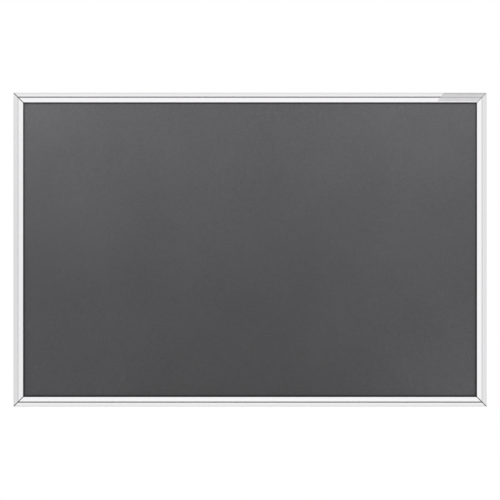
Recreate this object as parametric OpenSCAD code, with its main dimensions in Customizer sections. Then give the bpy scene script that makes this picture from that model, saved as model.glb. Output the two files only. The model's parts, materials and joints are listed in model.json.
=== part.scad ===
// Pin board for a wall: a felt face on cork and hardboard, held in a mitred aluminium frame.
// Sizes are in millimetres. Seen from the front, +X runs right, +Z runs up and -Y faces the viewer.
// The wall is the plane y = 0, and the origin is the middle of the frame's top edge on the wall.
// In every section, u runs inwards from the frame's outer edge and w runs forwards from the wall.

/* [Board] */
// Width over the frame
board_w = 900; // [600:1:1800]
// Height over the frame
board_h = 597; // [400:1:1200]

/* [Panel] */
// Thickness of the felt face
felt_t = 3; // [2:0.1:5]
// Thickness of the cork that holds the pins
cork_t = 3; // [2:0.1:6]
// Thickness of the hardboard back
hardboard_t = 3; // [2:0.1:6]
// Free space between the panel's edge and the frame
panel_gap = 0.6; // [0.3:0.1:1]

/* [Frame section] */
// Width of the frame's face
face_w = 18.7; // [16:0.1:30]
// Metal thickness of the walls, web and channel lips
metal_t = 1.4; // [1.1:0.05:1.8]
// Thickness of the lip that covers the panel's edge
lip_t = 2.2; // [1.6:0.1:2.8]
// Step from the face of that lip down to the felt
lip_step = 4; // [3.2:0.1:6]
// Thickness of the flange behind the panel
flange_t = 1.5; // [1.1:0.1:2]
// Reach of that flange behind the panel
flange_reach = 4.4; // [3:0.1:5]
// Free space between the felt and the rib that holds it down
rib_gap = 0.1; // [0.05:0.05:0.3]

/* [Frame face] */
// Distance from the outer edge to the middle of the groove
groove_u = 8.6; // [6:0.1:12]
// Width of the groove
groove_w = 2.4; // [1.6:0.1:3]
// Depth of the groove at the bottom of its V
groove_depth = 0.7; // [0.5:0.05:1.2]
// Metal left under the groove
skin_t = 1.5; // [1:0.1:2]
// Fall of the outer band from the groove to the outer edge
bevel_drop = 1.2; // [0.4:0.1:1.4]
// Radius of the outer front edge
edge_r = 0.3; // [0.2:0.1:1]
// Radius of the front edge beside the felt
lip_edge_r = 0.7; // [0.2:0.1:0.9]
// Open joint between two mitred ends
mitre_gap = 0.3; // [0.1:0.05:0.6]

/* [Badge] */
// Thickness of the plain foil
badge_t = 0.25; // [0.15:0.05:0.5]
// Length of the foil along the felt
badge_len = 77; // [40:1:120]
// Shift of its slanted end from the felt to the outer edge
badge_slant = 14.4; // [6:0.2:20]
// Sag of the foil where it bridges the groove
badge_sag = 0.3; // [0.1:0.05:0.4]
// Film of glue under the foil
badge_glue = 0.03; // [0.02:0.01:0.1]
// Bare margin between the foil and the outer edge, and at the mitre
badge_margin = 0.8; // [0.6:0.1:1.6]
// Bare margin between the foil and the edge beside the felt
badge_lip_margin = 2.2; // [1:0.1:4]

/* [Corner joints] */
// Length of a corner angle's legs from the frame's outer corner
angle_leg = 45; // [38:1:90]
// Distance from the outer corner to a grub screw
grub_at = 32; // [20:1:36]
// Distance of a grub screw's end inside the channel mouth
grub_inset = 0.5; // [0.2:0.1:1]
// Width of a grub screw's hexagon socket across its flats
socket_flats = 2; // [1.5:0.1:2.4]
// Depth of that socket
socket_depth = 1.6; // [1:0.1:2.2]

/* [Hangers] */
// Distance from the frame's side edge to the middle of a hanger
hanger_at = 150; // [100:1:240]
// Width of a hanger plate
plate_width = 36; // [28:1:50]
// Reach of a hanger plate from the frame's outer edge
plate_reach = 44; // [42:1:60]
// Thickness of a hanger plate
plate_t = 1.6; // [1.2:0.1:2]
// Distance from the outer edge to the middle of the keyhole
keyhole_u = 27; // [26:0.5:29]
// Distance from the keyhole's round hole to the end of its slot
keyhole_run = 10; // [8:0.5:12]
// Radius of the keyhole's round hole
keyhole_r = 4.75; // [3.5:0.05:5.75]
// Half the width of the keyhole's slot
slot_r = 2.5; // [2:0.05:3]
// Space in front of a plate for the head of a wall screw
screw_room = 3; // [2.4:0.1:5]
// Length of a slot nut
nut_len = 16; // [12:1:24]
// Thickness of the slot nuts and the corner angles
bar_t = 2.6; // [2:0.1:3.4]

/* [Screws] */
// Thread radius of the clamp screws and grub screws
thread_r = 1.95; // [1.45:0.05:2.4]
// Radius of a clamp screw's head
head_r = 3.5; // [2.8:0.1:4.2]
// Height of a clamp screw's head
head_h = 2.1; // [1.6:0.1:3]
// Width of the driver slot
drive_w = 1; // [0.8:0.1:1.4]
// Depth of the driver slot
drive_depth = 0.9; // [0.6:0.1:1.2]

/* [Clearances] */
// Space between a thread and its tapped hole
thread_gap = 0.05; // [0.02:0.01:0.1]
// Space round a thread in a plain hole or a channel mouth
hole_gap = 0.25; // [0.15:0.05:0.5]
// Space between a hanger and the faces that it slides on
slide_gap = 0.1; // [0.05:0.05:0.3]
// Space beside the slot nuts and corner angles in the channel
bar_side_gap = 0.4; // [0.2:0.05:0.6]
// Space in front of the slot nuts and corner angles in the channel
bar_front_gap = 0.5; // [0.3:0.1:0.8]
// Space between a clamp screw's head and the channel walls
head_side_gap = 0.7; // [0.5:0.1:1]
// Space between a clamp screw's head and the rear rim
head_rim_gap = 0.3; // [0.1:0.1:0.5]
// Space between a clamp screw's head and the wall
head_wall_gap = 0.3; // [0.1:0.1:1]

/* [Hidden] */
$fn = 64;
// Overlap that carries a cut clear of the faces that it passes through
clear_cut = 1;

// Places along u
channel_width = 2 * (head_r + head_side_gap);
channel_u = metal_t + channel_width / 2;
mouth_half = thread_r + hole_gap;
rim_w = channel_u - head_r - head_rim_gap;
inner_wall_u = metal_t + channel_width;
pocket_u = inner_wall_u + metal_t;
panel_u = pocket_u + panel_gap;
bar_width = channel_width - 2 * bar_side_gap;
bar_u = metal_t + bar_side_gap;
groove_half = groove_w / 2;
band_u = groove_u - groove_half;

// Places along w
plate_w = head_wall_gap + head_h;
channel_lip_w = plate_w + plate_t + slide_gap;
channel_w = channel_lip_w + metal_t;
web_w = channel_w + bar_t + bar_front_gap;
seat_w = plate_w + plate_t + screw_room;
cork_w = seat_w + hardboard_t;
felt_w = cork_w + cork_t;
felt_face_w = felt_w + felt_t;
depth = felt_face_w + lip_step;
lip_w = depth - lip_t;
chamber_front_w = depth - groove_depth - skin_t;
nut_w = channel_w + slide_gap;
grub_w = channel_lip_w + grub_inset;

// Outer band of the face: its slope, and the centre of the arc that rounds its outer edge
band_angle = atan(bevel_drop / band_u);
edge_centre_w = band_w(edge_r) - edge_r / cos(band_angle);

panel_w = board_w - 2 * panel_u;
panel_h = board_h - 2 * panel_u;

// Corners as a name, a side along X and a side along Z
CORNERS = [
    ["top_left", -1, 1],
    ["top_right", 1, 1],
    ["bottom_left", -1, -1],
    ["bottom_right", 1, -1]
];
CORNER_PIECES = ["corner_angle_", "hanger_plate_", "slot_nut_", "clamp_screw_"];

// Height of the outer band above the wall at a distance from the outer edge
function band_w(u) = depth - bevel_drop + u * bevel_drop / band_u;

// Rectangle of a section, from one corner to the other
module limb(from, to) {
    translate(from) square(to - from);
}

// Slab parallel to the wall: an outline in X and Z, from w and t thick
module slab(w, t) {
    rotate([90, 0, 0])
        translate([0, 0, w])
            linear_extrude(height = t)
                children();
}

// Round bar square to the wall
module bar(r, from, to) {
    rotate([90, 0, 0])
        translate([0, 0, from])
            cylinder(r = r, h = to - from);
}

// Puts a corner piece, drawn with X and Z running inwards from the frame's outer corner, at its corner
module at_corner(corner) {
    on_right = corner[1] > 0;
    on_top = corner[2] > 0;
    translate([corner[1] * board_w / 2, 0, on_top ? 0 : -board_h])
        mirror([on_right ? 1 : 0, 0, 0])
            mirror([0, 0, on_top ? 1 : 0])
                children();
}

// Head of the frame section: outer band, groove, inner band and the lip over the panel
module section_head() {
    difference() {
        union() {
            polygon([
                [0, web_w],
                [pocket_u, web_w],
                [pocket_u, lip_w],
                [face_w, lip_w],
                [face_w, depth - lip_edge_r],
                [face_w - lip_edge_r, depth],
                [band_u, depth],
                [edge_r * (1 - sin(band_angle)), edge_centre_w + edge_r * cos(band_angle)],
                [0, edge_centre_w]
            ]);
            translate([edge_r, edge_centre_w]) circle(edge_r);
            translate([face_w - lip_edge_r, depth - lip_edge_r]) circle(lip_edge_r);
            limb([panel_u, felt_face_w + rib_gap], [panel_u + metal_t, lip_w + lip_t / 2]);
        }
        polygon([
            [band_u, depth],
            [groove_u, depth - groove_depth],
            [groove_u + groove_half, depth],
            [groove_u, depth + clear_cut]
        ]);
        limb([metal_t, web_w + metal_t], [inner_wall_u, chamber_front_w]);
    }
}

// Whole frame section: the head, the rear channel with its lips, the rear rim and the flange behind the panel
module rail_section() {
    union() {
        section_head();
        limb([0, 0], [metal_t, web_w + metal_t]);
        limb([0, 0], [rim_w, metal_t]);
        limb([0, channel_lip_w], [channel_u - mouth_half, channel_w]);
        limb([channel_u + mouth_half, channel_lip_w], [pocket_u, channel_w]);
        limb([inner_wall_u, channel_lip_w], [pocket_u, web_w + metal_t]);
        limb([inner_wall_u, seat_w - flange_t], [pocket_u + flange_reach, seat_w]);
    }
}

// One length of the frame along X, outer edge at z = 0, with its two ends cut to 45 degrees
module rail(length) {
    end_x = length / 2 - mitre_gap / sqrt(2);
    inner_u = face_w + clear_cut;
    intersection() {
        rotate([180, 90, 0])
            linear_extrude(height = length, center = true)
                rail_section();
        slab(-clear_cut, depth + 2 * clear_cut)
            polygon([
                [-end_x - clear_cut, clear_cut],
                [end_x + clear_cut, clear_cut],
                [end_x - inner_u, -inner_u],
                [-end_x + inner_u, -inner_u]
            ]);
    }
}

module top_rail() {
    color("gainsboro") rail(board_w);
}

module bottom_rail() {
    color("gainsboro")
        translate([0, 0, -board_h])
            rotate([0, 180, 0])
                rail(board_w);
}

module left_stile() {
    color("gainsboro")
        translate([-board_w / 2, 0, -board_h / 2])
            rotate([0, -90, 0])
                rail(board_h);
}

module right_stile() {
    color("gainsboro")
        translate([board_w / 2, 0, -board_h / 2])
            rotate([0, 90, 0])
                rail(board_h);
}

// Plain foil on the top rail's face, from a slanted end to the mitre, sagging a little over the groove
module blank_badge() {
    inner_u = face_w - badge_lip_margin;
    face_edge = [
        [badge_margin, band_w(badge_margin)],
        [band_u, depth],
        [groove_u, depth - badge_sag],
        [groove_u + groove_half, depth],
        [inner_u, depth]
    ];
    lower_edge = [for (p = face_edge) p + [0, badge_glue]];
    upper_edge = [for (i = [len(lower_edge) - 1 : -1 : 0]) lower_edge[i] + [0, badge_t]];
    mitre_x = board_w / 2 - badge_margin;
    slant_x = board_w / 2 - face_w - badge_len;
    color("darkgray")
        intersection() {
            rotate([180, 90, 0])
                linear_extrude(height = board_w, center = true)
                    polygon(concat(lower_edge, upper_edge));
            slab(-clear_cut, depth + 3 * clear_cut)
                polygon([
                    [slant_x, -face_w],
                    [mitre_x - face_w, -face_w],
                    [mitre_x, 0],
                    [slant_x + badge_slant, 0]
                ]);
        }
}

// One layer of the panel
module panel_layer(w, t) {
    slab(w, t)
        translate([-panel_w / 2, -panel_u - panel_h])
            square([panel_w, panel_h]);
}

module felt_facing() {
    color("dimgray") panel_layer(felt_w, felt_t);
}

module cork_sheet() {
    color("peru") panel_layer(cork_w, cork_t);
}

module backing_board() {
    color("saddlebrown") panel_layer(seat_w, hardboard_t);
}

// Steel angle that joins two mitred ends, drawn up against the channel lips
module corner_angle() {
    color("slategray")
        slab(channel_w, bar_t)
            difference() {
                union() {
                    translate([bar_u, bar_u]) square([angle_leg - bar_u, bar_width]);
                    translate([bar_u, bar_u]) square([bar_width, angle_leg - bar_u]);
                }
                for (spot = [[grub_at, channel_u], [channel_u, grub_at]])
                    translate(spot) circle(thread_r + thread_gap);
            }
}

// Grub screw that stands on the channel's web and pushes its angle against the lips
module grub_screw() {
    difference() {
        bar(thread_r, grub_w, web_w);
        slab(grub_w - clear_cut, socket_depth + clear_cut)
            circle(r = socket_flats / 2 / cos(30), $fn = 6);
    }
}

module corner_set_screws() {
    color("dimgray")
        for (corner = CORNERS)
            at_corner(corner)
                for (spot = [[grub_at, channel_u], [channel_u, grub_at]])
                    translate([spot[0], 0, spot[1]])
                        grub_screw();
}

// Keyhole plate with its slot upwards, so a hanger of the top rail has its slot nearer the outer edge
module hanger_plate(on_top) {
    rounding = plate_width / 2;
    slot_side = on_top ? -1 : 1;
    hole_u = keyhole_u - slot_side * keyhole_run / 2;
    slot_u = keyhole_u + slot_side * keyhole_run / 2;
    color("lightsteelblue")
        translate([hanger_at, 0, 0])
            slab(plate_w, plate_t)
                difference() {
                    union() {
                        limb([-rounding, bar_u], [rounding, plate_reach - rounding]);
                        translate([0, plate_reach - rounding]) circle(rounding);
                    }
                    translate([0, channel_u]) circle(thread_r + hole_gap);
                    translate([0, hole_u]) circle(keyhole_r);
                    translate([0, slot_u]) circle(slot_r);
                    limb([-slot_r, min(hole_u, slot_u)], [slot_r, max(hole_u, slot_u)]);
                }
}

// Nut that runs in the channel behind a hanger plate
module slot_nut() {
    color("slategray")
        translate([hanger_at, 0, 0])
            slab(nut_w, bar_t)
                difference() {
                    translate([-nut_len / 2, bar_u]) square([nut_len, bar_width]);
                    translate([0, channel_u]) circle(thread_r + thread_gap);
                }
}

// Slotted screw that clamps a hanger plate to its nut
module clamp_screw() {
    color("silver")
        translate([hanger_at, 0, channel_u])
            difference() {
                union() {
                    bar(head_r, head_wall_gap, plate_w);
                    bar(thread_r, plate_w - head_h / 2, nut_w + bar_t);
                }
                slab(head_wall_gap - clear_cut, drive_depth + clear_cut)
                    square([2 * head_r + clear_cut, drive_w], center = true);
            }
}

top_rail();
bottom_rail();
left_stile();
right_stile();
corner_set_screws();
felt_facing();
cork_sheet();
backing_board();
blank_badge();
for (corner = CORNERS) {
    at_corner(corner) corner_angle();
    at_corner(corner) hanger_plate(corner[2] > 0);
    at_corner(corner) slot_nut();
    at_corner(corner) clamp_screw();
}
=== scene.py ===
import json
import math

import bpy
import numpy as np
from mathutils.geometry import tessellate_polygon
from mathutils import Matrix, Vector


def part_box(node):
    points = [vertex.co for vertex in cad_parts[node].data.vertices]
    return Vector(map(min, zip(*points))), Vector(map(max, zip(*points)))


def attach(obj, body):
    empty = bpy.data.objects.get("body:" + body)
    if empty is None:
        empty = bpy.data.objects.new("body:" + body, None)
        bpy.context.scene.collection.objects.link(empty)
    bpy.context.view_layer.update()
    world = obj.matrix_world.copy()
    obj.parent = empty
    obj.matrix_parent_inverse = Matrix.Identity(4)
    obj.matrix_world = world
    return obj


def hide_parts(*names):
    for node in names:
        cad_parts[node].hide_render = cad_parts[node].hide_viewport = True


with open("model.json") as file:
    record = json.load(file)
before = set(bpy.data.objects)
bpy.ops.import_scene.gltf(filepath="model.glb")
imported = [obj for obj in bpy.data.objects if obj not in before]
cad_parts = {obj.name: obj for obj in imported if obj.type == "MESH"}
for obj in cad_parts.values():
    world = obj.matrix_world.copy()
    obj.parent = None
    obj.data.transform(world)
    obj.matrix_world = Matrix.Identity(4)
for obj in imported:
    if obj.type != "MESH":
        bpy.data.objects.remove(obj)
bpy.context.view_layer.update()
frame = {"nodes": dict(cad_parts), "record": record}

MM = 0.001

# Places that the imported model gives
TOP_LOW, TOP_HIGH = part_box("top_rail")
LEFT_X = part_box("left_stile")[0].x
RIGHT_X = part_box("right_stile")[1].x
BOTTOM_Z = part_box("bottom_rail")[0].z
FELT_LOW, FELT_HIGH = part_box("felt_facing")
ANGLE_LOW, ANGLE_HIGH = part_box("corner_angle_top_left")
GRUB_LOW, GRUB_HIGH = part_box("corner_set_screws")
BADGE_LOW, BADGE_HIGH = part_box("blank_badge")
MOUNTS = {mount["name"]: mount for mount in frame["record"]["mounts"]}

TOP_Z = TOP_HIGH.z
MID_Z = (TOP_Z + BOTTOM_Z) / 2
BOARD_W = RIGHT_X - LEFT_X
BOARD_H = TOP_Z - BOTTOM_Z
DEPTH = -TOP_LOW.y
FACE_W = TOP_Z - TOP_LOW.z
END_CUT = BOARD_W / 2 - TOP_HIGH.x
PANEL_U = TOP_Z - FELT_HIGH.z
SEAT_W = -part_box("backing_board")[1].y
FELT_FACE_W = -FELT_LOW.y
FELT_BACK_W = -FELT_HIGH.y
CHANNEL_W = -ANGLE_HIGH.y

# Sizes of the frame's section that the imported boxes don't give
METAL = 1.4 * MM
PANEL_GAP = 0.6 * MM
LIP_T = 2.2 * MM
RIB_GAP = 0.1 * MM
FLANGE_T = 1.5 * MM
FLANGE_REACH = 4.4 * MM
GROOVE_U = 8.6 * MM
GROOVE_HALF = 1.2 * MM
GROOVE_DEPTH = 0.7 * MM
GROOVE_R = 0.2 * MM
SKIN_T = 1.5 * MM
BEVEL_DROP = 1.2 * MM
EDGE_R = 0.3 * MM
LIP_EDGE_R = 0.7 * MM
RIM_W = 1.8 * MM
MOUTH_HALF = 2.2 * MM
WEB_GAP = 3.1 * MM
SOFT_EDGE = 0.15 * MM
LEAST_R = 0.02 * MM
MITRE_BREAK = 0.6 * MM

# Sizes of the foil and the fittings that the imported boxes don't give
FOIL_T = 0.25 * MM
FOIL_GLUE = 0.03 * MM
FOIL_SAG = 0.3 * MM
FOIL_SLANT = 14.4 * MM
FOIL_EDGE_R = 0.08 * MM
THREAD_R = 1.95 * MM
THREAD_PITCH = 0.7 * MM
THREAD_DEPTH = 0.25 * MM
TAPPED_R = 2.0 * MM
GRUB_AT = 32 * MM
GRUB_BEVEL = 0.35 * MM
SOCKET_FLATS = 2 * MM
SOCKET_DEPTH = 1.6 * MM
SOCKET_MOUTH = 0.12 * MM
KEYHOLE_RUN = 10 * MM
KEYHOLE_SLOT_R = 2.5 * MM
DRIVE_W = 1 * MM
DRIVE_DEPTH = 0.9 * MM
DRIVE_EDGE = 0.12 * MM
DRIVE_DRAFT = 0.04 * MM
FIRST_CHORD_ANGLE = 0.03
HEAD_ROUND = 0.6 * MM
TIP_BEVEL = 0.5 * MM
TIP_SHARE = 0.75
PLATE_EASE = 0.25 * MM
PLATE_CORNER_R = 0.8 * MM
PLATE_END_SHARE = 0.999
BAR_EASE = 0.2 * MM
BAR_CORNER_R = 0.6 * MM

POCKET_U = PANEL_U - PANEL_GAP
INNER_WALL_U = POCKET_U - METAL
CHANNEL_U = (METAL + INNER_WALL_U) / 2
CHANNEL_LIP_W = CHANNEL_W - METAL
WEB_W = CHANNEL_W + WEB_GAP
LIP_W = DEPTH - LIP_T
BAND_U = GROOVE_U - GROOVE_HALF
BAR_U = ANGLE_LOW.x - LEFT_X
ANGLE_LEG = ANGLE_HIGH.x - LEFT_X

# Numbers of points and steps on curves, and how near two points are that count as one
CIRCLE_POINTS = 48
ARC_POINTS = 5
CORNER_STEPS = 6
BREAK_STEPS = 3
EASE_STEPS = 4
PLATE_END_STEPS = 28
FOIL_GROOVE_POINTS = 25
THREAD_STEPS = 12
HEAD_CHORDS = 12
CHORD_POINTS = 33
SAME_POINT = 0.00001 * MM


# Meshes

def new_piece(name, points, faces, material, body, uv=None, smooth_angle=35):
    """Mesh object from an array of points and a list of faces, with UVs in the faces' corner order."""
    mesh = bpy.data.meshes.new(name)
    mesh.from_pydata(np.asarray(points, float).reshape(-1, 3).tolist(), [], faces)
    if uv is not None:
        layer = mesh.uv_layers.new(name="UVMap")
        layer.data.foreach_set("uv", np.asarray(uv, np.float32).ravel())
    mesh.polygons.foreach_set("use_smooth", np.ones(len(mesh.polygons), bool))
    mesh.set_sharp_from_angle(angle=math.radians(smooth_angle))
    mesh.materials.append(material)
    mesh.validate()
    piece = bpy.data.objects.new(name, mesh)
    bpy.context.scene.collection.objects.link(piece)
    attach(piece, body)
    return piece


def add_mark(piece, name, values):
    """Number on each point of a piece that its material can read."""
    mark = piece.data.attributes.new(name, "FLOAT", "POINT")
    mark.data.foreach_set("value", np.asarray(values, np.float32))


def quad_corners(here, beside):
    """Values on rings of points and on the points beside them, in the corner order of the rings' quads."""
    return np.stack([here[:-1], here[1:], beside[1:], beside[:-1]], axis=2)


def ring_quads(ids):
    """Quads that join each closed ring of point numbers to the next one."""
    return quad_corners(ids, np.roll(ids, -1, axis=1)).reshape(-1, 4)


def grid_quads(ids):
    """Quads of a grid of point numbers."""
    return np.stack([ids[:-1, :-1], ids[:-1, 1:], ids[1:, 1:], ids[1:, :-1]], axis=2).reshape(-1, 4)


def grid_border(ids):
    """Point numbers round the border of a grid."""
    return np.concatenate([ids[0, :-1], ids[:-1, -1], ids[-1, :0:-1], ids[:0:-1, 0]])


def clockwise(outline):
    """The outline with its points in clockwise order, in axes that run right and up."""
    ahead = np.roll(outline, -1, axis=0)
    twice_area = (outline[:, 0] * ahead[:, 1] - outline[:, 1] * ahead[:, 0]).sum()
    return outline[::-1] if twice_area > 0 else outline


def circle(x, z, radius):
    """Outline of a circle about (x, z)."""
    angle = np.linspace(0, 2 * math.pi, CIRCLE_POINTS, endpoint=False)
    return np.stack([x + radius * np.sin(angle), z + radius * np.cos(angle)], axis=1)


def unit(vectors):
    """Vectors of length 1."""
    return vectors / np.linalg.norm(vectors, axis=1, keepdims=True)


def rounded_outline(corners, steps=CORNER_STEPS):
    """Closed outline through corners (u, w, r). At each one the two straight runs are cut back by
    r tan(turn / 2) and joined by the arc of radius r that touches both, in equal steps. A radius of 0
    leaves the corner sharp."""
    corners = np.array(corners, float)
    place, radius = corners[:, :2], corners[:, 2]
    before = unit(place - np.roll(place, 1, axis=0))
    after = np.roll(before, -1, axis=0)
    cross = before[:, 0] * after[:, 1] - before[:, 1] * after[:, 0]
    turn = np.arctan2(cross, (before * after).sum(axis=1))
    start = place - before * (radius * np.tan(np.abs(turn) / 2))[:, None]
    inward = np.stack([-before[:, 1], before[:, 0]], axis=1) * np.sign(turn)[:, None]
    centre = start + inward * radius[:, None]
    angle = turn[:, None] * np.linspace(0, 1, steps + 1)
    arm = (start - centre)[:, None, :]
    turned = np.stack([
        arm[..., 0] * np.cos(angle) - arm[..., 1] * np.sin(angle),
        arm[..., 0] * np.sin(angle) + arm[..., 1] * np.cos(angle),
    ], axis=2)
    points = (centre[:, None, :] + turned).reshape(-1, 2)
    fresh = np.linalg.norm(points - np.roll(points, 1, axis=0), axis=1) > SAME_POINT
    return points[fresh]


def drawn_in_corners(corners, distance):
    """Corners (u, w, r) of an outline with metal on its right, after every straight run has moved into the
    metal by a distance. A corner moves by the distance times (m + n) / (1 + m . n), where m and n are its
    two runs' normals. The radius of a round outer corner falls by the distance, and that of a round inner
    corner grows by it."""
    corners = np.array(corners, float)
    place, radius = corners[:, :2], corners[:, 2]
    before = unit(place - np.roll(place, 1, axis=0))
    after = np.roll(before, -1, axis=0)
    outer = before[:, 0] * after[:, 1] - before[:, 1] * after[:, 0] < 0
    normal = np.stack([before[:, 1], -before[:, 0]], axis=1)
    ahead = np.roll(normal, -1, axis=0)
    shift = (normal + ahead) / (1 + (normal * ahead).sum(axis=1, keepdims=True))
    left = np.where(outer, np.maximum(radius - distance, LEAST_R), radius + distance)
    return np.column_stack([place + distance * shift, np.where(radius > 0, left, 0)])


def drawn_in(outline, distance):
    """Smooth outline with metal on its right, each point moved into the metal by a distance, square to the
    line between its two neighbours."""
    along = unit(np.roll(outline, -1, axis=0) - np.roll(outline, 1, axis=0))
    return outline + distance * np.stack([along[:, 1], -along[:, 0]], axis=1)


def filled(outlines, ids, turns_left):
    """Triangles that fill a rim less its holes, which all turn left or all turn right. The ids are the
    outlines' point numbers in the mesh."""
    triangles = np.array(tessellate_polygon([(outline / MM).tolist() for outline in outlines]))
    corner = np.concatenate(outlines)[triangles]
    first = corner[:, 1] - corner[:, 0]
    second = corner[:, 2] - corner[:, 0]
    left = first[:, 0] * second[:, 1] - first[:, 1] * second[:, 0] > 0
    triangles = np.where((left == turns_left)[:, None], triangles, triangles[:, ::-1])
    return np.concatenate(ids)[triangles]


def lofted(draw, insets, lay, run_axis):
    """Closed shell. draw(d) gives the outlines of a section, drawn into the metal by d: the rim, clockwise,
    and then any holes, anticlockwise. It is called for each inset in turn, and lay puts one outline's rings
    in space. Quads join each ring to the next, and triangles fill the first ring and the last. Returns
    points, faces, UVs in metres along an axis and round each ring, and the ring that each point is on."""
    points, faces, uv, ring_of = [], [], [], []
    loops, numbers = [], []
    count = 0
    for loop in zip(*[draw(inset) for inset in insets]):
        rings = np.stack(loop)
        place = lay(rings)
        ids = count + np.arange(place[..., 0].size).reshape(place.shape[:2])
        run = place[..., run_axis]
        widest = rings[len(rings) // 2]
        step = np.linalg.norm(np.roll(widest, -1, axis=0) - widest, axis=1)
        way_to = np.broadcast_to(np.cumsum(step), run.shape)
        points.append(place.reshape(-1, 3))
        faces += ring_quads(ids).tolist()
        uv.append(np.stack([
            quad_corners(run, np.roll(run, -1, axis=1)),
            quad_corners(way_to - step, way_to),
        ], axis=-1).reshape(-1, 2))
        ring_of.append(np.repeat(np.arange(len(rings)), rings.shape[1]))
        loops.append(rings)
        numbers.append(ids)
        count += ids.size
    section = np.concatenate([rings.reshape(-1, 2) for rings in loops])
    for end, turns_left in ((0, False), (-1, True)):
        triangles = filled([rings[end] for rings in loops], [ids[end] for ids in numbers], turns_left)
        faces += triangles.tolist()
        uv.append(section[triangles].reshape(-1, 2))
    return np.concatenate(points), faces, np.concatenate(uv), np.concatenate(ring_of)


def swept_bar(draw, start_x, end_x, edge_break):
    """Bar along X of the outlines (u, w) that draw gives, with ends at x = start_x(u) and x = end_x(u).
    Near an end the outlines are drawn in by b (1 - sin a) while x leaves the end by b (1 - cos a), for a
    from 0 to 90 degrees, so the end's edges are rounded with radius b. A point lies at x, -w, -u. Returns
    points, faces, UVs and a mark for each point, 1 on the rounded ends and 0 from twice b inwards."""
    fade = 2 * edge_break
    angle = np.linspace(0, math.pi / 2, BREAK_STEPS + 1)
    inset = np.append(edge_break * (1 - np.sin(angle)), 0)
    leave = np.append(edge_break * (1 - np.cos(angle)), fade)[:, None]
    mark = np.append(np.ones_like(angle), 0)

    def lay(rings):
        """One outline's rings in space, from the right end to the left."""
        right, left = np.split(rings[..., 0], 2)
        x = np.concatenate([end_x(right) - leave, start_x(left) + leave[::-1]])
        return np.stack([x, -rings[..., 1], -rings[..., 0]], axis=2)

    points, faces, uv, ring_of = lofted(draw, np.append(inset, inset[::-1]), lay, 0)
    return points, faces, uv, np.append(mark, mark[::-1])[ring_of]


def pierced_plate(rim, holes, back_w, front_w, ease):
    """Flat plate between two distances from the wall, from the outlines of its rim and holes in x and z.
    Going from the back to the front, each outline is drawn into the metal by ease (1 - sin a) while it
    leaves the face by ease (1 - cos a), for a from 0 to 90 degrees, which rounds every edge. A narrow flat
    band lies between an edge and the filled face."""
    flat_band = 1.5 * ease
    angle = np.linspace(0, math.pi / 2, EASE_STEPS + 1)
    inset = np.append(flat_band, ease * (1 - np.sin(angle)))
    leave = np.append(0, ease * (1 - np.cos(angle)))
    w = np.append(back_w + leave, front_w - leave[::-1])
    outlines = [clockwise(rim)] + [clockwise(hole)[::-1] for hole in holes]

    def draw(distance):
        """The rim and the holes, drawn into the metal by a distance."""
        return [drawn_in(outline, distance) for outline in outlines]

    def lay(rings):
        """One outline's rings in space, from the back to the front."""
        y = np.broadcast_to(-w[:, None], rings.shape[:2])
        return np.stack([rings[..., 0], y, rings[..., 1]], axis=2)

    points, faces, _, _ = lofted(draw, np.append(inset, inset[::-1]), lay, 1)
    return points, faces


def turned_about_y(points, degrees, place):
    """Points turned about Y and then moved to a place."""
    a = math.radians(degrees)
    turn = np.array([[math.cos(a), 0, math.sin(a)], [0, 1, 0], [-math.sin(a), 0, math.cos(a)]])
    return points @ turn.T + np.array(place)


# Materials

class Nodes:
    """Short way to write one node tree."""

    def __init__(self, tree):
        self.tree = tree

    def add(self, kind, inputs=None, **settings):
        """New node, with settings on the node and values or links on its inputs."""
        node = self.tree.nodes.new(kind)
        for key, value in settings.items():
            setattr(node, key, value)
        for key, value in (inputs or {}).items():
            self.put(node.inputs[key], value)
        return node

    def put(self, socket, value):
        """Sets a socket to a constant, or links another node's output to it."""
        if isinstance(value, bpy.types.NodeSocket):
            self.tree.links.new(value, socket)
        else:
            socket.default_value = value

    def math(self, operation, *values):
        """Arithmetic on one or two values."""
        return self.add("ShaderNodeMath", dict(enumerate(values)), operation=operation).outputs[0]

    def vector(self, operation, inputs):
        """Node for arithmetic on vectors."""
        return self.add("ShaderNodeVectorMath", inputs, operation=operation)

    def span(self, value, low, high, to_low=0.0, to_high=1.0, **settings):
        """Value carried from one span to another, held at both ends."""
        inputs = {"Value": value, "From Min": low, "From Max": high, "To Min": to_low, "To Max": to_high}
        return self.add("ShaderNodeMapRange", inputs, **settings).outputs["Result"]

    def mirrored(self, path):
        """1 for a ray that metal or glass has sent on, and 0 for any other."""
        return self.math("MAXIMUM", path.outputs["Is Glossy Ray"], path.outputs["Is Transmission Ray"])


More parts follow.
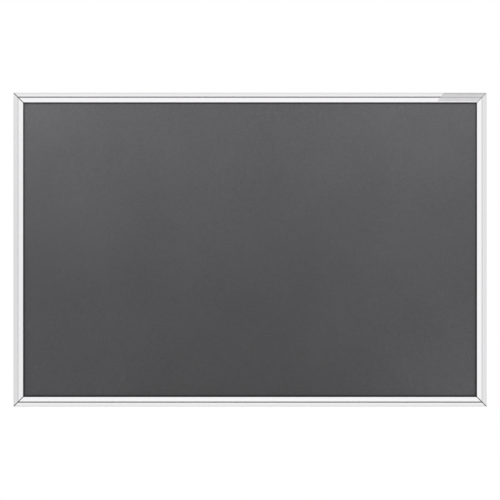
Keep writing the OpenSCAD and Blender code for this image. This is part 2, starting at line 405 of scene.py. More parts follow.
class Finish(Nodes):
    """Node tree of one material, with its patterns."""

    def __init__(self, name):
        self.material = bpy.data.materials.new(name)
        self.material.use_nodes = True
        super().__init__(self.material.node_tree)
        self.shader = self.tree.nodes["Principled BSDF"]

    def set(self, **values):
        """Values or links on the shader, by socket name with spaces as underscores."""
        for key, value in values.items():
            self.put(self.shader.inputs[key.replace("_", " ")], value)

    def place(self, source, scale=(1.0, 1.0, 1.0)):
        """Coordinates from a Texture Coordinate output, stretched by a scale."""
        coords = self.add("ShaderNodeTexCoord").outputs[source]
        return self.add("ShaderNodeMapping", {"Vector": coords, "Scale": scale}).outputs["Vector"]

    def noise(self, vector, scale, detail=2.0, roughness=0.5):
        """Noise value of a given scale."""
        inputs = {"Vector": vector, "Scale": scale, "Detail": detail, "Roughness": roughness}
        return self.add("ShaderNodeTexNoise", inputs).outputs["Fac"]

    def mix(self, factor, a, b):
        """Colour between a and b. A Mix node takes its two colours at 6 and 7 and gives one at 2."""
        node = self.add("ShaderNodeMix", data_type="RGBA")
        self.put(node.inputs[0], factor)
        for socket, value in ((node.inputs[6], a), (node.inputs[7], b)):
            self.put(socket, value if isinstance(value, bpy.types.NodeSocket) else (*value, 1.0))
        return node.outputs[2]

    def weighted(self, a, share, b):
        """Share of a, with the rest from b."""
        return self.math("ADD", self.math("MULTIPLY", a, share), self.math("MULTIPLY", b, 1 - share))

    def strands(self, where, length, width, ways=4):
        """Fibres that cross: in each of several directions, noise drawn out to a length and a width. The
        strongest one shows."""
        strongest = None
        for way in range(ways):
            turned = self.add("ShaderNodeMapping", {
                "Vector": where,
                "Rotation": (0.0, math.pi * (way + 0.3) / ways, 0.0),
                "Scale": (length, width, width),
            }, vector_type="TEXTURE").outputs["Vector"]
            fibre = self.noise(turned, 1.0, detail=1.0)
            strongest = fibre if strongest is None else self.math("MAXIMUM", strongest, fibre)
        return strongest

    def bent(self, where, scale, reach):
        """Coordinates pushed about by soft noise, by about half of a reach."""
        soft = self.add("ShaderNodeTexNoise", {"Vector": where, "Scale": scale, "Detail": 1.0})
        push = self.vector("SCALE", {0: soft.outputs["Color"], "Scale": reach}).outputs[0]
        return self.vector("ADD", {0: where, 1: push}).outputs[0]

    def bump(self, height, distance, strength=1.0):
        """Normal from a height, whose full span stands for a distance."""
        inputs = {"Height": height, "Distance": distance, "Strength": strength}
        return self.add("ShaderNodeBump", inputs).outputs["Normal"]

    def mark(self, name):
        """Number that a piece carries on its points."""
        return self.add("ShaderNodeAttribute", attribute_name=name).outputs["Fac"]


def satin_aluminium():
    """Silver anodised aluminium, drawn along its length. A piece's mark says how far its metal is darkened
    and
    made less metallic at each point: painted shade on the face of the left length, and darker cut edges at
    the joints."""
    m = Finish("satin_aluminium")
    lines = m.noise(m.place("UV", (4.0, 9000.0, 1.0)), 1.0, detail=3.0)
    tone = m.span(lines, 0.3, 0.7)
    metal = m.mix(tone, (0.943, 0.931, 0.945), (0.973, 0.961, 0.975))
    darkening = m.mark("darkening")
    m.set(
        Base_Color=m.mix(darkening, metal, (0.05, 0.05, 0.055)),
        Metallic=m.span(darkening, 0.0, 1.0, 1.0, 0.3),
        Roughness=m.span(tone, 0.0, 1.0, 0.3, 0.24),
        Normal=m.bump(lines, 0.002 * MM),
    )
    return m.material


def grey_felt():
    """Pressed grey felt: curling fibres that cross, a short nap, small tufts and soft clouds of tone,
    darkened near the frame's lip.
    """
    m = Finish("grey_felt")
    where = m.place("Object")
    fibres = m.strands(m.bent(where, 240.0, 3.0 * MM), 2.4 * MM, 0.16 * MM)
    nap = m.noise(where, 3200.0)
    tufts = m.noise(where, 420.0)
    clouds = m.noise(where, 6.0)
    fleck = m.weighted(m.span(fibres, 0.5, 0.76), 0.6, nap)
    tone = m.weighted(fleck, 0.78, m.weighted(tufts, 0.6, clouds))
    shade = m.mix(m.span(tone, 0.25, 0.72), (0.05, 0.05, 0.0522), (0.15, 0.15, 0.1555))
    m.set(
        # The mark darkens the felt near the lip: painted shade under the lip, partly the denser pressed felt
        Base_Color=m.mix(m.mark("pressed_edge_and_shade"), shade, (0.022, 0.022, 0.023)),
        Roughness=0.95,
        Specular_IOR_Level=0.04,
        Sheen_Weight=0.05,
        Sheen_Roughness=0.6,
        Normal=m.bump(fleck, 0.3 * MM, 0.7),
    )
    return m.material


def pressed_cork():
    """Cork granules pressed into a sheet, each of its own brown, with dark seams between."""
    m = Finish("pressed_cork")
    where = m.place("Object")
    grains = m.add("ShaderNodeTexVoronoi", {"Vector": where, "Scale": 420.0})
    seams = m.add("ShaderNodeTexVoronoi", {"Vector": where, "Scale": 420.0}, feature="DISTANCE_TO_EDGE")
    pick = m.add("ShaderNodeSeparateColor", {"Color": grains.outputs["Color"]}).outputs["Red"]
    brown = m.mix(pick, (0.3, 0.16, 0.07), (0.56, 0.36, 0.18))
    edge = m.span(seams.outputs["Distance"], 0.02, 0.12)
    m.set(
        Base_Color=m.mix(edge, (0.13, 0.065, 0.03), brown),
        Roughness=0.85,
        Normal=m.bump(edge, 0.15 * MM),
    )
    return m.material


def brown_hardboard():
    """Smooth brown hardboard: pressed wood fibres that cross, dark specks and faint streaks of tone."""
    m = Finish("brown_hardboard")
    where = m.place("Object")
    fibres = m.span(m.strands(m.bent(where, 120.0, 4.0 * MM), 5.0 * MM, 0.3 * MM), 0.5, 0.76)
    mottle = m.noise(where, 70.0, detail=5.0, roughness=0.65)
    streaks = m.noise(m.place("Object", (3.0, 3.0, 24.0)), 1.0, detail=3.0)
    tone = m.span(m.weighted(fibres, 0.45, m.weighted(mottle, 0.6, streaks)), 0.25, 0.7)
    brown = m.mix(tone, (0.13, 0.066, 0.031), (0.31, 0.172, 0.09))
    specks = m.span(m.noise(where, 900.0, detail=1.0), 0.68, 0.74)
    m.set(
        Base_Color=m.mix(specks, brown, (0.06, 0.03, 0.016)),
        Roughness=m.span(tone, 0.0, 1.0, 0.62, 0.46),
        Normal=m.bump(fibres, 0.05 * MM, 0.6),
    )
    return m.material


def grey_foil():
    """Bare satin foil, a little darker than the rail and cloudy from its glue."""
    m = Finish("grey_foil")
    grain = m.noise(m.place("UV", (120.0, 5000.0, 1.0)), 1.0)
    clouds = m.noise(m.place("UV", (70.0, 220.0, 1.0)), 1.0)
    tone = m.weighted(grain, 0.5, clouds)
    m.set(
        Base_Color=m.mix(m.span(tone, 0.35, 0.65), (0.68, 0.668, 0.681), (0.75, 0.738, 0.751)),
        Metallic=1.0,
        Roughness=m.span(tone, 0.3, 0.7, 0.34, 0.26),
        Normal=m.bump(clouds, 0.02 * MM, 0.5),
    )
    return m.material


def bright_zinc():
    """Zinc plate on pressed steel, with a faint yellow and blue bloom and fine scuffs."""
    m = Finish("bright_zinc")
    bloom = m.noise(m.place("Object"), 90.0, detail=3.0)
    scuffs = m.noise(m.place("Object", (4000.0, 500.0, 700.0)), 1.0, detail=3.0)
    m.set(
        Base_Color=m.mix(m.span(bloom, 0.38, 0.62), (0.66, 0.68, 0.72), (0.74, 0.72, 0.66)),
        Metallic=1.0,
        Roughness=m.span(scuffs, 0.3, 0.7, 0.26, 0.44),
        Normal=m.bump(scuffs, 0.01 * MM, 0.6),
    )
    return m.material


def oiled_steel():
    """Dark steel with a thin film of oil and grey rubbed patches."""
    m = Finish("oiled_steel")
    where = m.place("Object")
    rubbed = m.noise(where, 160.0, detail=4.0, roughness=0.65)
    pits = m.noise(where, 2600.0)
    m.set(
        Base_Color=m.mix(m.span(rubbed, 0.42, 0.68), (0.12, 0.12, 0.125), (0.34, 0.34, 0.35)),
        Metallic=1.0,
        Roughness=m.span(rubbed, 0.4, 0.7, 0.5, 0.34),
        Normal=m.bump(pits, 0.02 * MM, 0.7),
    )
    return m.material


ALUMINIUM = satin_aluminium()
FELT = grey_felt()
CORK = pressed_cork()
HARDBOARD = brown_hardboard()
FOIL = grey_foil()
ZINC = bright_zinc()
STEEL = oiled_steel()


# Camera: head-on, with the board as wide in the picture as it is in the photograph

CAMERA_DISTANCE = 3.0
PICTURE_SIDE = 500.0
BOARD_PIXELS = 473.4
BOARD_CENTRE_PIXELS = (250.04, 249.65)
SENSOR = 36 * MM


def head_on_camera():
    """Camera on the board's axis. Its lens makes the face as wide as it is in the photograph, and a small
    move puts the board's middle in the same place."""
    metres_per_pixel = BOARD_W / BOARD_PIXELS
    shift_x = (PICTURE_SIDE / 2 - BOARD_CENTRE_PIXELS[0]) * metres_per_pixel
    shift_z = (BOARD_CENTRE_PIXELS[1] - PICTURE_SIDE / 2) * metres_per_pixel
    camera = bpy.data.objects.new("camera", bpy.data.cameras.new("camera"))
    camera.data.sensor_width = SENSOR / MM
    camera.data.lens = SENSOR / MM * (CAMERA_DISTANCE - DEPTH) / (PICTURE_SIDE * metres_per_pixel)
    camera.location = (shift_x, -CAMERA_DISTANCE, MID_Z + shift_z)
    camera.rotation_euler = (math.pi / 2, 0, 0)
    bpy.context.scene.collection.objects.link(camera)
    bpy.context.scene.camera = camera


head_on_camera()


# Frame: one hollow section, swept along four sides

RIB_W = FELT_FACE_W + RIB_GAP
CHAMBER_BACK_W = WEB_W + METAL
CHAMBER_FRONT_W = DEPTH - GROOVE_DEPTH - SKIN_T

# Corners (u, w, r) of the section's rim, clockwise from the rear outer edge: the outer wall, the outer
# band, the groove, the inner band with its lip and rib, the flange behind the panel and the rear channel
SECTION_RIM = [
    (0, 0, SOFT_EDGE),
    (0, DEPTH - BEVEL_DROP, EDGE_R),
    (BAND_U, DEPTH, SOFT_EDGE),
    (GROOVE_U, DEPTH - GROOVE_DEPTH, GROOVE_R),
    (GROOVE_U + GROOVE_HALF, DEPTH, SOFT_EDGE),
    (FACE_W, DEPTH, LIP_EDGE_R),
    (FACE_W, LIP_W, SOFT_EDGE),
    (PANEL_U + METAL, LIP_W, 0),
    (PANEL_U + METAL, RIB_W, 0),
    (PANEL_U, RIB_W, 0),
    (PANEL_U, LIP_W, 0),
    (POCKET_U, LIP_W, 0),
    (POCKET_U, SEAT_W, 0),
    (POCKET_U + FLANGE_REACH, SEAT_W, 0),
    (POCKET_U + FLANGE_REACH, SEAT_W - FLANGE_T, SOFT_EDGE),
    (POCKET_U, SEAT_W - FLANGE_T, SOFT_EDGE),
    (POCKET_U, CHANNEL_LIP_W, SOFT_EDGE),
    (CHANNEL_U + MOUTH_HALF, CHANNEL_LIP_W, SOFT_EDGE),
    (CHANNEL_U + MOUTH_HALF, CHANNEL_W, SOFT_EDGE),
    (INNER_WALL_U, CHANNEL_W, 0),
    (INNER_WALL_U, WEB_W, 0),
    (METAL, WEB_W, 0),
    (METAL, CHANNEL_W, 0),
    (CHANNEL_U - MOUTH_HALF, CHANNEL_W, SOFT_EDGE),
    (CHANNEL_U - MOUTH_HALF, CHANNEL_LIP_W, SOFT_EDGE),
    (METAL, CHANNEL_LIP_W, SOFT_EDGE),
    (METAL, METAL, 0),
    (RIM_W, METAL, SOFT_EDGE),
    (RIM_W, 0, SOFT_EDGE),
]

# Corners (u, w) of the closed chamber inside the section, anticlockwise
SECTION_CHAMBER = np.array([
    (METAL, CHAMBER_BACK_W),
    (INNER_WALL_U, CHAMBER_BACK_W),
    (INNER_WALL_U, CHAMBER_FRONT_W),
    (METAL, CHAMBER_FRONT_W),
])


def frame_section(distance):
    """Outlines of the section: the rim, drawn into the metal by a distance, and the chamber as it is, since
    its sawn edges stay sharp."""
    return [rounded_outline(drawn_in_corners(SECTION_RIM, distance)), SECTION_CHAMBER]


# How far the metal is darkened, from 0 to 1: a face, the face of the left length, darkened as painted shade,
# the cut edges of a joint, and those of the joint beside the foil, which are less dark
BRIGHT = 0.0
LEFT_PAINTED_SHADE = 0.08
DARK_CUT = 1.0
PALER_CUT = 0.4


def frame_length(name, node, length, degrees, place, cuts=(DARK_CUT, DARK_CUT), face=BRIGHT):
    """One mitred length of the frame, turned to its side of the board, with how far its two cuts and its
    face are darkened."""
    half = length / 2 - END_CUT
    points, faces, uv, mark = swept_bar(frame_section, lambda u: u - half, lambda u: half - u, MITRE_BREAK)
    darkened = np.maximum(mark * np.where(points[:, 0] < 0, *cuts), face)
    points = turned_about_y(points, degrees, place)
    piece = new_piece(name, points, faces, ALUMINIUM, "board", uv)
    add_mark(piece, "darkening", darkened)
    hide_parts(node)


frame_length("top_frame_length", "top_rail", BOARD_W, 0, (0, 0, TOP_Z), cuts=(DARK_CUT, PALER_CUT))
frame_length("bottom_frame_length", "bottom_rail", BOARD_W, 180, (0, 0, BOTTOM_Z))
# The left length's face is darkened a little: painted shade, as if less light fell on that side
frame_length("left_frame_length", "left_stile", BOARD_H, -90, (LEFT_X, 0, MID_Z), face=LEFT_PAINTED_SHADE)
frame_length("right_frame_length", "right_stile", BOARD_H, 90, (RIGHT_X, 0, MID_Z), cuts=(PALER_CUT, DARK_CUT))


# Felt face

FELT_EDGE_ROWS = 14
FELT_EDGE_BAND = 14 * MM
FELT_INNER_ROWS = (200, 130)
FELT_DIP = 1.5 * MM
FELT_PRESSED = 4.5 * MM
FELT_RISE = 6 * MM
FELT_RELIEF = 0.05 * MM
FELT_WAVES = np.geomspace(14 * MM, 160 * MM, 16)
FELT_SEED = 5


def graded(low, high, inner_rows):
    """Places from low to high, evenly close in a band at both ends and evenly wide between."""
    near = np.linspace(0, FELT_EDGE_BAND, FELT_EDGE_ROWS + 1)
    middle = np.linspace(low + FELT_EDGE_BAND, high - FELT_EDGE_BAND, inner_rows + 1)
    return np.concatenate([low + near[:-1], middle, high - near[::-1][1:]])


def smooth_step(x):
    """0 below 0, 1 above 1 and 3 x^2 - 2 x^3 between."""
    x = np.clip(x, 0, 1)
    return x * x * (3 - 2 * x)


def soft_waves(x, z, lengths, seed):
    """Sum of plane waves of the given lengths, in directions and phases from one seeded draw, over the root
    of their number, which keeps it within about -2 and 2."""
    draw = np.random.default_rng(seed)
    heading = draw.uniform(0, 2 * math.pi, len(lengths))
    phase = draw.uniform(0, 2 * math.pi, len(lengths))
    kx = 2 * math.pi * np.cos(heading) / lengths
    kz = 2 * math.pi * np.sin(heading) / lengths
    waves = np.cos(x[..., None] * kx + z[..., None] * kz + phase)
    return waves.sum(axis=-1) / math.sqrt(len(lengths))


def felt_face():
    """Closed sheet on a grid: the front lies twice FELT_RELIEF behind the felt's face, falls by a smooth
    step to the edge that the lip presses down and has a relief of plane waves. The back is flat, and the
    border joins them."""
    x = graded(FELT_LOW.x, FELT_HIGH.x, FELT_INNER_ROWS[0])
    z = graded(FELT_LOW.z, FELT_HIGH.z, FELT_INNER_ROWS[1])
    xx, zz = np.meshgrid(x, z)
    edge = np.minimum(
        np.minimum(xx - FELT_LOW.x, FELT_HIGH.x - xx),
        np.minimum(zz - FELT_LOW.z, FELT_HIGH.z - zz),
    )
    rise = smooth_step((edge - FELT_PRESSED) / FELT_RISE)
    relief = FELT_RELIEF * soft_waves(xx, zz, FELT_WAVES, FELT_SEED) * rise
    front = FELT_DIP * (1 - rise) + 2 * FELT_RELIEF - relief - FELT_FACE_W
    back = np.full_like(front, -FELT_BACK_W)
    points = np.concatenate([np.stack([xx, y, zz], axis=2).reshape(-1, 3) for y in (front, back)])
    ids = np.arange(xx.size).reshape(xx.shape)
    front_quads = grid_quads(ids)
    back_quads = front_quads[:, ::-1] + xx.size
    border = grid_border(ids)
    border_quads = ring_quads(np.stack([border, border + xx.size]))
    faces = np.concatenate([front_quads, back_quads, border_quads]).tolist()
    piece = new_piece("felt_face", points, faces, FELT, "board", smooth_angle=50)
    # The mark is strongest where the felt dips under the lip, and the material darkens it there: painted
    # shade, partly the denser pressed felt
    add_mark(piece, "pressed_edge_and_shade", np.tile((1 - rise).ravel(), 2))
    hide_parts("felt_facing")


felt_face()


# Foil on the top frame length

def plain_foil():
    """Foil on the face of the top length, from a slanted end to the mitre. Its section follows the face:
    the slope of the outer band, one cosine wave down and up over the groove, and the flat inner band. Arcs
    round its edges."""
    low_u = TOP_Z - BADGE_HIGH.z
    high_u = TOP_Z - BADGE_LOW.z

    def bed(u):
        """Distance of the foil's back from the wall."""
        band = DEPTH - BEVEL_DROP * np.clip(1 - u / BAND_U, 0, None)
        dip = 0.5 + 0.5 * np.cos(math.pi * np.clip((u - GROOVE_U) / GROOVE_HALF, -1, 1))
        return band - FOIL_SAG * dip + FOIL_GLUE

    arc = np.linspace(0, math.pi / 2, ARC_POINTS)
    edge_in = FOIL_EDGE_R * (1 - np.cos(arc))
    edge_down = FOIL_EDGE_R * (1 - np.sin(arc))
    groove = np.linspace(BAND_U, GROOVE_U + GROOVE_HALF, FOIL_GROOVE_POINTS)
    face_u = np.concatenate([low_u + edge_in, groove, high_u - edge_in[::-1]])
    fall = np.concatenate([edge_down, np.zeros_like(groove), edge_down[::-1]])
    back_u = np.concatenate([[high_u], groove[::-1], [low_u]])
    outline = np.concatenate([
        np.stack([face_u, bed(face_u) + FOIL_T - fall], axis=1),
        np.stack([back_u, bed(back_u)], axis=1),
    ])
    points, faces, uv, _ = swept_bar(
        lambda distance: [drawn_in(outline, distance)],
        lambda u: BADGE_LOW.x + FOIL_SLANT * (high_u - u) / FACE_W,
        lambda u: BADGE_HIGH.x + low_u - u,
        FOIL_EDGE_R / 2,
    )
    piece = new_piece("plain_foil", points, faces, FOIL, "board", uv)
    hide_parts("blank_badge")


plain_foil()


# Fittings at the back

CORNERS = [
    ("top_left", -1, 1),
    ("top_right", 1, 1),
    ("bottom_left", -1, -1),
    ("bottom_right", 1, -1),
]


def across(side, u):
    """x of a point that lies u inwards of the left or the right edge."""
    return side * (BOARD_W / 2 - u)


def upright(top, u):
    """z of a point that lies u inwards of the top or the bottom edge."""
    return TOP_Z - u if top > 0 else BOTTOM_Z + u


def keyhole(x, hole_z, hole_r):
    """Outline of a keyhole with its slot upwards: the round hole from one wall of the slot round to the
    other, then the slot's round end."""
    slot_z = hole_z + KEYHOLE_RUN
    opening = math.asin(KEYHOLE_SLOT_R / hole_r)
    hole = np.linspace(opening, 2 * math.pi - opening, CIRCLE_POINTS)
    end = np.linspace(-math.pi / 2, math.pi / 2, CIRCLE_POINTS // 2)
    return np.concatenate([
        np.stack([x + hole_r * np.sin(hole), hole_z + hole_r * np.cos(hole)], axis=1),
        np.stack([x + KEYHOLE_SLOT_R * np.sin(end), slot_z + KEYHOLE_SLOT_R * np.cos(end)], axis=1),
    ])


def hanger_plate(name, top):
    """Keyhole plate with its inner end round, and with its clamp hole over the frame's channel. The two arcs
    of that end stop just short of each other."""
    low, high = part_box(f"hanger_plate_{name}")
    mount = MOUNTS[f"keyhole_{name}"]
    x = (low.x + high.x) / 2
    near_z, far_z = (high.z, low.z) if top > 0 else (low.z, high.z)
    end_r = PLATE_END_SHARE * (high.x - low.x) / 2
    rim = rounded_outline([
        (low.x, near_z, PLATE_CORNER_R),
        (high.x, near_z, PLATE_CORNER_R),
        (high.x, far_z, end_r),
        (low.x, far_z, end_r),
    ], PLATE_END_STEPS)
    holes = [
        circle(x, upright(top, CHANNEL_U), MOUTH_HALF),
        keyhole(x, mount["pos_m"][2], mount["dims"]["r_mm"] * MM),
    ]
    return pierced_plate(rim, holes, -high.y, -low.y, PLATE_EASE)


def corner_angle(side, top):
    """Flat L of steel that lies in the channels of two frame lengths, with a tapped hole in each leg."""
    inner = 2 * CHANNEL_U - BAR_U
    corners = [
        (BAR_U, BAR_U),
        (ANGLE_LEG, BAR_U),
        (ANGLE_LEG, inner),
        (inner, inner),
        (inner, ANGLE_LEG),
        (BAR_U, ANGLE_LEG),
    ]
    rim = rounded_outline([(across(side, a), upright(top, b), BAR_CORNER_R) for a, b in corners])
    holes = [
        circle(across(side, GRUB_AT), upright(top, CHANNEL_U), TAPPED_R),
        circle(across(side, CHANNEL_U), upright(top, GRUB_AT), TAPPED_R),
    ]
    return pierced_plate(rim, holes, -ANGLE_HIGH.y, -ANGLE_LOW.y, BAR_EASE)


def slot_nut(name):
    """Steel nut with eased edges and one tapped hole."""
    low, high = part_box(f"slot_nut_{name}")
    rim = rounded_outline([
        (low.x, low.z, BAR_CORNER_R),
        (low.x, high.z, BAR_CORNER_R),
        (high.x, high.z, BAR_CORNER_R),
        (high.x, low.z, BAR_CORNER_R),
    ])
    holes = [circle((low.x + high.x) / 2, (low.z + high.z) / 2, TAPPED_R)]
    return pierced_plate(rim, holes, -high.y, -low.y, BAR_EASE)


def thread(x, z, w):
    """Share of a shank's radius that is left at a turn about its axis and a distance along it: a rounded
    helix."""
    turn = np.arctan2(z, x) / (2 * math.pi)
    return 1 - THREAD_DEPTH / THREAD_R * (0.5 + 0.5 * np.cos(2 * math.pi * (w / THREAD_PITCH - turn)))


def threaded_span(from_w, to_w):
    """Places along a thread, THREAD_STEPS to a turn."""
    return np.arange(from_w, to_w, THREAD_PITCH / THREAD_STEPS)


def slotted_screw(name):
    """Screw square to the wall, with its slotted head towards the wall. The head's face is a grid: s runs
    across the slot, with steps at the slot's walls, and t from -1 to 1 along the chord at s, so a point
    lies s across the slot and t sqrt(r^2 - s^2) along it. The first chord and the last lie just inside the
    rim. The face falls in an arc near the rim, and to the slot's floor between the walls. The grid's border
    is carried along the head's side, in to the shank and along its thread to the tip."""
    low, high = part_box(f"clamp_screw_{name}")
    x = (low.x + high.x) / 2
    z = (low.z + high.z) / 2
    head_r = (high.x - low.x) / 2
    back_w = -high.y
    seat_w = -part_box(f"hanger_plate_{name}")[1].y
    tip_w = -low.y

    wall = DRIVE_W / 2
    angle = np.linspace(0, math.pi / 2, ARC_POINTS)
    last_chord_angle = math.acos((wall + DRIVE_EDGE) / head_r)
    open_side = head_r * np.cos(np.linspace(FIRST_CHORD_ANGLE, last_chord_angle, HEAD_CHORDS))[:-1]
    half_s = np.concatenate([open_side, wall + DRIVE_EDGE * (1 - np.sin(angle)), [wall - DRIVE_DRAFT]])
    half_fall = np.concatenate([np.zeros_like(open_side), DRIVE_EDGE * (1 - np.cos(angle)), [DRIVE_DEPTH]])
    s = np.concatenate([half_s, -half_s[::-1]])[:, None]
    fall = np.concatenate([half_fall, half_fall[::-1]])[:, None]
    t = np.sin(np.linspace(-math.pi / 2, math.pi / 2, CHORD_POINTS))
    along = np.sqrt(head_r ** 2 - s ** 2) * t
    over = np.broadcast_to(s, along.shape)
    near_rim = np.clip((np.hypot(along, over) - head_r) / HEAD_ROUND + 1, 0, 1)
    face_w = back_w + np.maximum(fall, HEAD_ROUND * (1 - np.sqrt(1 - near_rim ** 2)))
    face = np.stack([x + along, -face_w, z + over], axis=2).reshape(-1, 3)

    ids = np.arange(along.size).reshape(along.shape)
    border = grid_border(ids)
    rim_x = along.ravel()[border]
    rim_z = over.ravel()[border]
    shank_w = threaded_span(seat_w, tip_w - TIP_BEVEL)
    shank = THREAD_R / head_r * thread(rim_x, rim_z, shank_w[:, None])
    tip = np.full_like(rim_x, TIP_SHARE * THREAD_R / head_r)
    share = np.concatenate([[np.ones_like(rim_x)], shank, [tip]])
    ring_w = np.concatenate([[seat_w], shank_w, [tip_w]])
    ring_y = np.broadcast_to(-ring_w[:, None], share.shape)
    rings = np.stack([x + share * rim_x, ring_y, z + share * rim_z], axis=2).reshape(-1, 3)

    rows = np.concatenate([border[None], along.size + np.arange(share.size).reshape(share.shape)])
    quads = np.concatenate([grid_quads(ids), ring_quads(rows)])
    return np.concatenate([face, rings]), quads.tolist() + [rows[-1][::-1].tolist()]


def grub_screws():
    """Grub screws in the corner angles. Each is a stack of rings: the hexagon socket from its floor to its
    eased mouth, the bevelled rear end, the thread and the bevelled tip. The ring of a hexagon has the
    radius f / cos(a), where f is half the width over its flats and a the angle from the nearest flat's
    middle."""
    back_w = -GRUB_HIGH.y
    tip_w = -GRUB_LOW.y
    angle = np.linspace(0, 2 * math.pi, CIRCLE_POINTS, endpoint=False)
    x = np.sin(angle)
    z = np.cos(angle)
    hexagon = SOCKET_FLATS / 2 / np.cos(np.mod(angle + math.pi / 6, math.pi / 3) - math.pi / 6)
    plain = np.full_like(angle, THREAD_R - GRUB_BEVEL)
    shank_w = threaded_span(back_w + GRUB_BEVEL, tip_w - GRUB_BEVEL)
    shank = THREAD_R * thread(x, z, shank_w[:, None])
    radius = np.concatenate([[hexagon, hexagon, hexagon + SOCKET_MOUTH, plain], shank, [plain]])
    socket_w = [back_w + SOCKET_DEPTH, back_w + SOCKET_MOUTH, back_w, back_w]
    ring_w = np.concatenate([socket_w, shank_w, [tip_w]])
    ring_y = np.broadcast_to(-ring_w[:, None], radius.shape)
    one = np.stack([radius * x, ring_y, radius * z], axis=2).reshape(-1, 3)
    spots = np.array([
        spot
        for _, side, top in CORNERS
        for spot in (
            (across(side, GRUB_AT), 0, upright(top, CHANNEL_U)),
            (across(side, CHANNEL_U), 0, upright(top, GRUB_AT)),
        )
    ])
    points = (spots[:, None] + one).reshape(-1, 3)
    ids = np.arange(radius.size).reshape(radius.shape)
    first = radius.size * np.arange(len(spots))[:, None]
    quads = (first[:, :, None] + ring_quads(ids)).reshape(-1, 4)
    floors = first + ids[0]
    tips = first + ids[-1, ::-1]
    return points, quads.tolist() + floors.tolist() + tips.tolist()


def fitting(name, node, shape, material, body):
    """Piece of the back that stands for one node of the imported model."""
    points, faces = shape
    piece = new_piece(name, points, faces, material, body)
    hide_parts(node)


fitting("grub_screws", "corner_set_screws", grub_screws(), STEEL, "board")
for corner, side, top in CORNERS:
    hanger = f"hanger_{corner}"
    angle = corner_angle(side, top)
    plate = hanger_plate(corner, top)
    nut = slot_nut(corner)
    screw = slotted_screw(corner)
    fitting(f"angle_{corner}", f"corner_angle_{corner}", angle, STEEL, "board")
    fitting(f"keyhole_plate_{corner}", f"hanger_plate_{corner}", plate, ZINC, hanger)
    fitting(f"channel_nut_{corner}", f"slot_nut_{corner}", nut, STEEL, hanger)
    fitting(f"slotted_screw_{corner}", f"clamp_screw_{corner}", screw, ZINC, hanger)


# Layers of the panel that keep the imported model's own shape

for node_name, finish in (("cork_sheet", CORK), ("backing_board", HARDBOARD)):
    layer = frame["nodes"][node_name].data
    layer.materials.clear()
    layer.materials.append(finish)


# Stage: a pale floor far below the board, which fades to white at its rim

FLOOR_Z = -1.0
FLOOR_HUB = 0.02
FLOOR_RADIUS = 1.3
FLOOR_RINGS = 24
FLOOR_SPOKES = 96
FLOOR_WHITENESS = 0.6
FLOOR_FADE = (0.52, 1.274)


def pale_floor():
    """Round floor: rings of points about the board's middle. For the eye it is paler than its light makes
    it, and white at its rim. Metal looks past it to the studio."""
    radius = np.linspace(FLOOR_HUB, FLOOR_RADIUS, FLOOR_RINGS)
    angle = np.linspace(0, 2 * math.pi, FLOOR_SPOKES, endpoint=False)
    rr, aa = np.meshgrid(radius, angle, indexing="ij")
    points = np.stack([rr * np.cos(aa), rr * np.sin(aa), np.full_like(rr, FLOOR_Z)], axis=2)
    ids = np.arange(rr.size).reshape(rr.shape)
    mesh = bpy.data.meshes.new("floor")
    mesh.from_pydata(points.reshape(-1, 3).tolist(), [], ring_quads(ids).tolist() + [ids[0].tolist()])
    floor = bpy.data.objects.new("floor", mesh)
    bpy.context.scene.collection.objects.link(floor)

    m = Finish("pale_floor")
    where = m.add("ShaderNodeTexCoord").outputs["Object"]
    flat = m.vector("MULTIPLY", {0: where, 1: (1.0, 1.0, 0.0)}).outputs[0]
    out = m.vector("LENGTH", {0: flat}).outputs["Value"]
    whiteness = m.span(out, *FLOOR_FADE, FLOOR_WHITENESS, 1.0)
    path = m.add("ShaderNodeLightPath")
    white = m.add("ShaderNodeEmission", {"Color": (1.0, 1.0, 1.0, 1.0), "Strength": 1.0})
    clear = m.add("ShaderNodeBsdfTransparent")
    faded = m.add("ShaderNodeMixShader", {
        0: m.math("MULTIPLY", whiteness, path.outputs["Is Camera Ray"]),
        1: m.shader.outputs[0],
        2: white.outputs[0],
    })
    blend = m.add("ShaderNodeMixShader", {0: m.mirrored(path), 1: faded.outputs[0], 2: clear.outputs[0]})
    m.set(Base_Color=(0.86, 0.86, 0.86, 1.0), Roughness=0.9, Specular_IOR_Level=0.1)
    m.put(m.tree.nodes["Material Output"].inputs["Surface"], blend.outputs[0])
    mesh.materials.append(m.material)


pale_floor()


# Light: a studio that is white for the eye. Metal sees it white, greyer to the sides, with two dim cards
# in front, one high and one low. Each span is of a direction's X, Y or Z, over which a tone changes

AMBIENT = 0.12
DIM_CARD = 0.07
DIM_CARD_SPAN = (0.4, 0.8)
IN_FRONT_SPAN = (-0.3, 0.1)
BESIDE = 0.83
BESIDE_SPAN = (0.17, 0.38)
FAR_SIDE = 0.78
FAR_SIDE_SPAN = (0.45, 0.8)

# Width and height of the lamps
FRONT_LAMP = (0.6, 0.4)
REAR_LAMP = (1.2, 0.8)


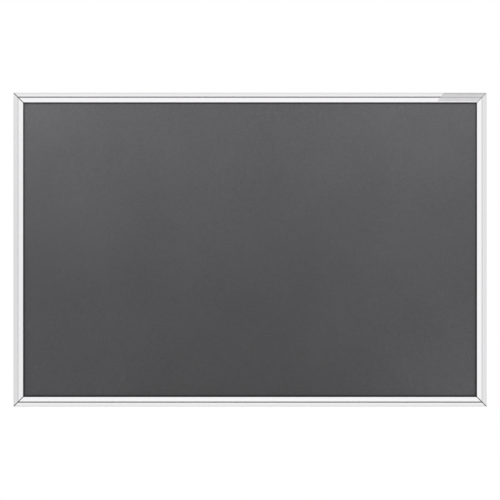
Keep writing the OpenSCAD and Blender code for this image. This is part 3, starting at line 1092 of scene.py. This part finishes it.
def studio_world():
    """Tone by direction: white to the eye everywhere. In metal it falls from 1 straight ahead to BESIDE at
    the sides, then by FAR_SIDE again, and to DIM_CARD high and low in front. Matt surfaces get an even
    AMBIENT."""
    world = bpy.data.worlds.new("studio")
    bpy.context.scene.world = world
    world.use_nodes = True
    world.cycles.sampling_method = "NONE"
    world.node_tree.nodes.clear()
    m = Nodes(world.node_tree)

    def eased(value, span, to_low, to_high):
        """Number that changes smoothly over a span of a value."""
        return m.span(value, *span, to_low, to_high, interpolation_type="SMOOTHSTEP")

    def between(factor, a, b):
        """Number between a and b, which a Mix node takes at 2 and 3."""
        return m.add("ShaderNodeMix", {0: factor, 2: a, 3: b}, data_type="FLOAT").outputs[0]

    towards = m.add("ShaderNodeSeparateXYZ", {0: m.add("ShaderNodeTexCoord").outputs["Generated"]})
    sideways = m.math("ABSOLUTE", towards.outputs["X"])
    steep = m.math("ABSOLUTE", towards.outputs["Z"])
    in_front = eased(towards.outputs["Y"], IN_FRONT_SPAN, 1.0, 0.0)
    card = m.math("MULTIPLY", eased(steep, DIM_CARD_SPAN, 0.0, 1.0), in_front)
    ahead = eased(card, (0.0, 1.0), 1.0, DIM_CARD)
    beside = eased(sideways, BESIDE_SPAN, 1.0, BESIDE)
    far_side = eased(sideways, FAR_SIDE_SPAN, 1.0, FAR_SIDE)
    tone = m.math("MULTIPLY", ahead, m.math("MULTIPLY", beside, far_side))
    path = m.add("ShaderNodeLightPath")
    strength = between(path.outputs["Is Camera Ray"], between(m.mirrored(path), AMBIENT, tone), 1.0)
    back = m.add("ShaderNodeBackground", {"Color": (1.0, 1.0, 1.0, 1.0), "Strength": strength})
    m.add("ShaderNodeOutputWorld", {"Surface": back.outputs[0]})


def soft_lamp(name, place, aim, size, watts):
    """Rectangular lamp at a place, turned to a point. It lights matt surfaces, and metal doesn't mirror
    it."""
    lamp = bpy.data.objects.new(name, bpy.data.lights.new(name, "AREA"))
    lamp.data.shape = "RECTANGLE"
    lamp.data.size, lamp.data.size_y = size
    lamp.data.energy = watts
    lamp.location = place
    way = np.array(aim, float) - np.array(place, float)
    way /= np.linalg.norm(way)
    lamp.rotation_euler = (math.acos(-way[2]), 0, math.atan2(way[1], way[0]) - math.pi / 2)
    lamp.visible_camera = False
    lamp.visible_glossy = False
    bpy.context.scene.collection.objects.link(lamp)


studio_world()
soft_lamp("upper_left_lamp", (-0.42, -0.4, 0.12), (-0.21, 0, -0.25), FRONT_LAMP, 3.15)
soft_lamp("upper_right_lamp", (0.39, -0.4, 0.12), (0.2, 0, -0.25), FRONT_LAMP, 2.8)
soft_lamp("lower_left_lamp", (-0.77, -0.4, -0.79), (-0.46, 0, -0.35), FRONT_LAMP, 2.5)
soft_lamp("lower_right_lamp", (0.77, -0.4, -0.77), (0.46, 0, -0.35), FRONT_LAMP, 3.4)
soft_lamp("rear_lamp", (0.3, 1.4, 0.5), (0, 0, -0.3), REAR_LAMP, 15.0)

bpy.context.scene.view_settings.view_transform = "Standard"
